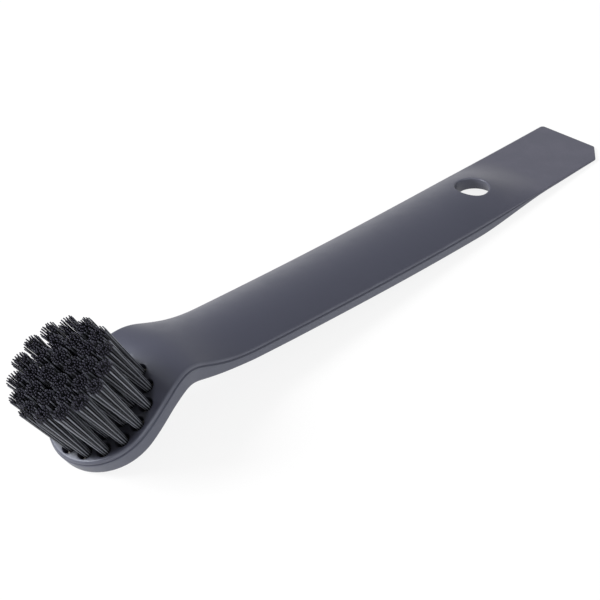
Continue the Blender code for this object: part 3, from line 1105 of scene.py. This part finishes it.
    def add_tuft_hole(self, skin: Skin, middle: Array) -> Array:
        """Add one blind hole in the face.

        Formula: a circle's wall straight down from a small rounding to a flat floor.

        Args:
            skin: The skin that it becomes part of.
            middle: Its middle in plan.

        Returns:
            Indices of the points of its upper edge.
        """
        ring = around(full_turn(self.tuft_hole_sides))
        line, zero = middle + self.tuft_hole_radius * ring, np.zeros(self.tuft_hole_sides)
        distance, height = rounded_edge(line, -ring, zero, zero + self.tuft_hole_rim,
                                        self.shape.top, 1.0, len(self.tuft_hole_wear_and_highlight) - 2)
        distance = np.concatenate([distance, zero[:, None]], axis=1)
        height = np.concatenate([height, zero[:, None] - self.tuft_hole_depth], axis=1)
        place = line[:, None, :] - ring[:, None, :] * distance[:, :, None]
        index = skin.add(place[..., 0], place[..., 1], height, np.array(self.tuft_hole_wear_and_highlight))
        skin.weave(index, flip=True)
        skin.fan(index[:, -1], np.append(middle, -self.tuft_hole_depth))
        return index[:, 0]

    def lattice(self, inset: Surface) -> Array:
        """Lay out a square lattice of places inside the outline.

        Args:
            inset: Least distance from the outline over a place in plan, less half the pitch.

        Returns:
            Places (n, 2) in plan.
        """
        s, q = np.meshgrid(np.arange(-HEAD_RADIUS, self.shape.length, self.pitch),
                           np.arange(-HEAD_RADIUS, HEAD_RADIUS, self.pitch) + self.row_offset,
                           indexing="ij")
        s, q = s.ravel(), q.ravel()
        keep = self.shape.inside(s, q) > inset(s, q) + self.pitch / 2
        return np.stack([s[keep], q[keep]], axis=-1)

    def build_skin(self) -> Skin:
        """Gather the whole skin in plan.

        Returns:
            The skin, closed.
        """
        skin, shape = Skin(), self.shape
        band = self.add_band(skin)
        hang = self.add_hang_hole(skin)
        holes = [self.add_tuft_hole(skin, middle) for middle in self.tufts.places().values()]

        def top_inset(s: Array, q: Array) -> Array:
            """How far the top plate ends inside the outline."""
            return sum(self.top_edge(shape.side_height(s)))

        def low_inset(s: Array, q: Array) -> Array:
            """How far the bottom plate ends inside the outline."""
            return shape.lower_edge(s) * self.underside_inset

        skin.fill([band[:, 0], hang[:, 0]] + holes, self.lattice(top_inset), self.pitch / 2,
                  shape.top)
        skin.fill([band[:, -1], hang[:, -1]], self.lattice(low_inset), self.pitch / 2,
                  shape.underside, flip=True)
        return skin

    def build(self, head: HeadFrame, material: bpy.types.Material) -> bpy.types.Object:
        """Make the handle, pressed flat where it would pass through the ground.

        Args:
            head: Place of the head in the model.
            material: Finish of the plastic.

        Returns:
            The handle, which stands for its node.
        """
        skin = self.build_skin()
        s, q, h, rim, band = np.concatenate(skin.points).T
        points = head.to_world(self.shape.place(s, q, h))
        points[:, 2] = np.maximum(points[:, 2], 0.0)
        # Painted shade on the face inside the outer ring of tufts and down the tuft holes.
        reach = np.hypot(s + self.tufts.shift, q)
        soil = eased(reach, self.soil_edge, (1.0, 0.0)) * (h > self.soil_depth)
        # Painted sheen and scraping, from where the grip thins to the blade.
        scrape = eased(s, (self.shape.thinning_start, self.shape.blade_start), (0.0, 1.0))
        handle = make_mesh("moulded_handle", points, skin.faces, material,
                           {"rim": rim, "band": band, "soil": soil, "scrape": scrape})
        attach(handle, BODY)
        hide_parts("handle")
        return handle


@dataclass(frozen=True)
class LegRing:
    """One ring of filament legs on one side of the anchor wire, which runs along X.

    In the hole the legs stand on an arc beside the wire. At the tips they are spread evenly over
    half a circle. The root angle is in degrees.
    """

    count: int
    root_radius: float
    root_angle: float
    tip_radius: float

    def roots(self) -> Array:
        """Places (leg, 2) in the hole: an arc from the root angle to its mirror image."""
        turn = np.radians(np.linspace(self.root_angle, 180.0 - self.root_angle, self.count))
        return self.root_radius * around(turn)

    def tips(self) -> Array:
        """Places (leg, 2) at the tips: the middles of equal steps along half a circle."""
        return self.tip_radius * around(math.pi * (np.arange(self.count) + 0.5) / self.count)


@dataclass(frozen=True)
class Tuft:
    """A bundle of filaments, folded in half round an anchor wire and fanned out from its hole.

    A point of the fold is given by its share of the leg's place across the wire, and its height.
    In the outer ring of legs a painted highlight and a painted shade go by turns, and the rest
    have the core's painted shade.
    """

    tip_height: float = 19.25 * MM
    height_spread: float = 0.10 * MM
    dome: float = 0.30 * MM
    root_height: float = -0.8 * MM
    fold: Pairs = ((1.0, -2.6 * MM), (0.5, -3.05 * MM), (-0.5, -3.05 * MM), (-1.0, -2.6 * MM))
    rings: tuple[LegRing, ...] = (LegRing(9, 0.93 * MM, 20.5, 2.00 * MM),
                                  LegRing(7, 0.67 * MM, 29.0, 1.38 * MM),
                                  LegRing(4, 0.42 * MM, 50.0, 0.74 * MM))
    leg_shares: tuple[float, ...] = (1.0, 0.985, 0.62, 0.28, 0.0)
    fan_power: float = 0.95
    scatter: float = 0.07 * MM
    stray_scatter: float = 0.25 * MM
    stray_share: float = 0.03
    scatter_limit: float = 1.8
    filament_radius: float = 0.165 * MM
    squeeze: float = 0.77
    sides: int = 6
    # Painted highlight and painted shade by turns on the outer legs, painted shade on the core.
    outer_highlight_shares: tuple[float, float] = (1.0, 0.35)
    core_shade_share: float = 0.3
    shade_spread: float = 0.35
    end_spread: float = 0.3

    def paths(self, shift: Array, rng: np.random.Generator) -> Array:
        """Draw the filaments' paths from tip to tip.

        Formula: a leg moves from its place in the hole to its place at the tips by a power of the
        share of its height. It drifts by the tuft's shift, and by its own scatter as the square
        of that share. Its tip is lower by the square of its distance from the tuft's middle, and
        at random.

        Args:
            shift: How far the tips lie aside from the hole, in plan.
            rng: Source of the scatter.

        Returns:
            Points (filament, point, 3) in the frame of the tuft's hole.
        """
        roots = np.concatenate([ring.roots() for ring in self.rings])
        tips = np.concatenate([ring.tips() for ring in self.rings])
        share, count = np.array(self.leg_shares), len(roots)
        far = np.linalg.norm(tips, axis=1) / self.rings[0].tip_radius
        legs = []
        for way in (1.0, -1.0):
            root, tip = roots * np.array([1.0, way]), tips * np.array([1.0, way])
            loose = rng.random(count) < self.stray_share
            amount = np.where(loose, self.stray_scatter, self.scatter)[:, None]
            drift = rng.normal(0.0, 1.0, root.shape)
            drift = drift.clip(-self.scatter_limit, self.scatter_limit) * amount
            rise = self.tip_height - self.dome * far ** 2 - self.height_spread * rng.random(count)
            plan = (root[:, None, :] + (tip - root)[:, None, :] * (share ** self.fan_power)[:, None]
                    + shift * share[:, None] + drift[:, None, :] * (share ** 2)[:, None])
            height = self.root_height + (rise - self.root_height)[:, None] * share
            legs.append(np.concatenate([plan, height[..., None]], axis=-1))
        fold = np.stack([np.concatenate([roots * np.array([1.0, way]),
                                         np.full((count, 1), height)], axis=1)
                         for way, height in self.fold], axis=1)
        return np.concatenate([legs[0], fold, legs[1][:, ::-1]], axis=1)

    def radii(self) -> Array:
        """Radius of a filament at each point of its path, squeezed towards the hole."""
        leg = self.squeeze + (1.0 - self.squeeze) * np.array(self.leg_shares)
        fold = np.full(len(self.fold), self.squeeze)
        return self.filament_radius * np.concatenate([leg, fold, leg[::-1]])

    def sweep(self, paths: Array) -> tuple[Array, list[list[int]]]:
        """Carry a ring along each path, and close its ends.

        Formula: each ring lies across the path's way, set out from the X axis less its part
        along that way.

        Args:
            paths: Paths (filament, point, 3), none of which runs along X.

        Returns:
            Points, filament by filament and ring by ring, and faces.
        """
        way = np.gradient(paths, axis=1)
        way /= np.linalg.norm(way, axis=-1, keepdims=True)
        first = np.array([1.0, 0.0, 0.0]) - way * way[..., :1]
        first /= np.linalg.norm(first, axis=-1, keepdims=True)
        second = np.cross(way, first)
        turn = full_turn(self.sides)[:, None]
        ring = first[:, :, None, :] * np.cos(turn) + second[:, :, None, :] * np.sin(turn)
        points = paths[:, :, None, :] + self.radii()[:, None, None] * ring
        index = np.arange(points[..., 0].size).reshape(points.shape[:-1])
        after = np.roll(index, -1, axis=2)
        quads = np.stack([index[:, :-1], after[:, :-1], after[:, 1:], index[:, 1:]], axis=-1)
        faces = quads.reshape(-1, 4).tolist()
        faces += index[:, 0, ::-1].tolist() + index[:, -1].tolist()
        return points.reshape(-1, 3), faces

    def shares(self, paths: Array, rng: np.random.Generator) -> dict[str, Array]:
        """Choose each filament's strand share, and its end share, which is 0 but at its tips.

        Args:
            paths: Paths (filament, point, 3).
            rng: Source of the differences between filaments.

        Returns:
            Shares (filament, point, side), by name.
        """
        count, length = paths.shape[:2]
        order = np.arange(count)
        # Painted highlight on every other outer filament; painted shade on the rest and the core.
        bright = np.where(order % 2 == 0, *self.outer_highlight_shares)
        bright = np.where(order < self.rings[0].count, bright, self.core_shade_share)
        strand, end = np.zeros((2, count, length, self.sides))
        strand += (bright * (1.0 - self.shade_spread * rng.random(count)))[:, None, None]
        end[:, [0, -1]] = (1.0 - self.end_spread * rng.random(count))[:, None, None]
        return {"strand": strand, "end": end}

    def build(self, name: str, place: Array, shift: Array, head: HeadFrame,
              material: bpy.types.Material, seed: int) -> bpy.types.Object:
        """Make one tuft.

        Args:
            name: Name that the tuft's nodes end with.
            place: Place of its hole on the head's face.
            shift: How far its tips lie aside from the hole.
            head: Place of the head in the model.
            material: Finish of the nylon.
            seed: Seed of its scatter.

        Returns:
            The tuft, which stands for its node.
        """
        rng = np.random.default_rng(seed)
        paths = self.paths(shift, rng)
        points, faces = self.sweep(paths)
        points = head.to_world(points + np.append(place, 0.0))
        points = np.clip(points, *map(np.array, CAD_BOX))
        tuft = make_mesh(f"filaments_{name}", points, faces, material, self.shares(paths, rng))
        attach(tuft, BODY)
        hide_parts(f"tuft_{name}")
        return tuft


@dataclass(frozen=True)
class Anchor:
    """A flat wire anchor, which keeps its solid and takes a finer finish."""

    name: str

    def dress(self, material: bpy.types.Material) -> bpy.types.Object:
        """Give the anchor its finish.

        Args:
            material: Finish of the wire.

        Returns:
            The anchor's solid.
        """
        solid = frame["nodes"][f"anchor_{self.name}"]
        for slot in solid.material_slots:
            slot.material = material
        return solid


@dataclass(frozen=True)
class Lamp:
    """A soft lamp: where it hangs, in degrees, and the level to which it lights a white card."""

    name: str
    azimuth: float
    elevation: float
    level: float


@dataclass(frozen=True)
class Studio:
    """White card, soft light from all round and a camera at the photograph's angle."""

    azimuth: float = math.radians(-41.9)
    elevation: float = math.radians(36.4)
    roll: float = math.radians(-4.35)
    target: tuple[float, float, float] = (-10.31 * MM, 5.21 * MM, -0.15 * MM)
    distance: float = 393.85 * MM
    lens: float = 90.0
    sensor: float = 36.0
    nearest: float = 10 * MM
    farthest: float = 10.0
    floor_size: float = 12.0
    lamp_distance: float = 1.2
    lamp_size: float = 0.5
    lamps: tuple[Lamp, ...] = (Lamp("key_lamp", -130.0, 38.0, 1.20),
                               Lamp("fill_lamp", -15.0, 32.0, 0.25))
    room_colour: Colour = (1.0, 1.0, 1.0)
    room_stops: Pairs = ((0.0, 1.0), (0.14, 1.0), (0.26, 0.60), (0.56, 0.60), (0.82, 0.3))

    def add_camera(self) -> None:
        """Set up the camera from its azimuth, elevation and roll about its target."""
        back = direction(self.azimuth, self.elevation)
        side = Vector((math.cos(self.azimuth), math.sin(self.azimuth), 0.0))
        rise = back.cross(side)
        right = side * math.cos(self.roll) + rise * math.sin(self.roll)
        up = rise * math.cos(self.roll) - side * math.sin(self.roll)
        data = bpy.data.cameras.new("camera")
        data.lens, data.sensor_width = self.lens, self.sensor
        data.clip_start, data.clip_end = self.nearest, self.farthest
        camera = bpy.data.objects.new("camera", data)
        turn = Matrix((right, up, back)).transposed().to_4x4()
        camera.matrix_world = Matrix.Translation(Vector(self.target) + back * self.distance) @ turn
        bpy.context.scene.collection.objects.link(camera)
        bpy.context.scene.camera = camera

    def add_floor(self) -> None:
        """Lay the white card under the brush."""
        half = self.floor_size / 2
        corners = half * np.array([(-1, -1, 0), (1, -1, 0), (1, 1, 0), (-1, 1, 0)])
        floor = make_mesh("floor", corners, [[0, 1, 2, 3]], FloorFinish().build())
        floor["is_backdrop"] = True

    def add_lamp(self, lamp: Lamp) -> None:
        """Hang an area lamp that faces the brush.

        Formula: a card square to the lamp, at its distance, is lit to the level when the power is
        the level times pi squared times the distance squared.

        Args:
            lamp: The lamp's place and level.
        """
        way = direction(math.radians(lamp.azimuth), math.radians(lamp.elevation))
        data = bpy.data.lights.new(lamp.name, "AREA")
        data.size = self.lamp_size
        data.energy = lamp.level * math.pi ** 2 * self.lamp_distance ** 2
        hung = bpy.data.objects.new(lamp.name, data)
        hung.matrix_world = (Matrix.Translation(way * self.lamp_distance)
                             @ way.to_track_quat("Z", "Y").to_matrix().to_4x4())
        bpy.context.scene.collection.objects.link(hung)

    def light_world(self) -> None:
        """Light from all round, white up to the horizon and greyer overhead."""
        world = bpy.data.worlds.new("white_room")
        bpy.context.scene.world = world
        world.use_nodes = True
        graph = Graph(world.node_tree)
        way = graph.node("ShaderNodeTexCoord", output="Generated")
        height = graph.node("ShaderNodeSeparateXYZ", None, {0: way}, "Z")
        light = graph.node("ShaderNodeBackground", None, {
            "Color": opaque(self.room_colour), "Strength": graph.ramp(height, self.room_stops)})
        graph.node("ShaderNodeOutputWorld", None, {"Surface": light})

    def build(self) -> None:
        """Set up the camera, the floor, the lamps and the world."""
        self.add_camera()
        self.add_floor()
        for lamp in self.lamps:
            self.add_lamp(lamp)
        self.light_world()
        bpy.context.scene.view_settings.view_transform = "Standard"


def write_sizes(cad_box: tuple[Vector, Vector]) -> None:
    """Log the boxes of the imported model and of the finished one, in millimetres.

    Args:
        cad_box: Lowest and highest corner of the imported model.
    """
    boxes = {"cad": cad_box, "visual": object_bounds()}
    for name, (low, high) in boxes.items():
        log.info("%s box %s to %s mm", name, [round(v / MM, 3) for v in low],
                 [round(v / MM, 3) for v in high])


def main() -> None:
    """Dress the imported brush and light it."""
    logging.basicConfig(level=logging.INFO, format="%(name)s: %(message)s", stream=sys.stdout)
    back = next(m for m in frame["record"]["mounts"] if m["name"] == "head_back")
    head = HeadFrame.from_mount(back, HEAD_BACK_POINT)
    handle = Handle()
    skin = handle.build(head, PlasticFinish().build())
    log.info("%s: %d faces", skin.name, len(skin.data.polygons))

    nylon, wire, tuft = NylonFinish().build(), WireFinish().build(), Tuft()
    for seed, (name, place) in enumerate(handle.tufts.places().items()):
        piece = tuft.build(name, place, handle.tufts.tip_shift(place), head, nylon, seed)
        log.info("%s: %d faces", piece.name, len(piece.data.polygons))
        anchor = Anchor(name).dress(wire)
        log.info("%s: %d faces, kept", anchor.name, len(anchor.data.polygons))

    Studio().build()
    write_sizes(CAD_BOX)


if __name__ == "__main__":
    main()
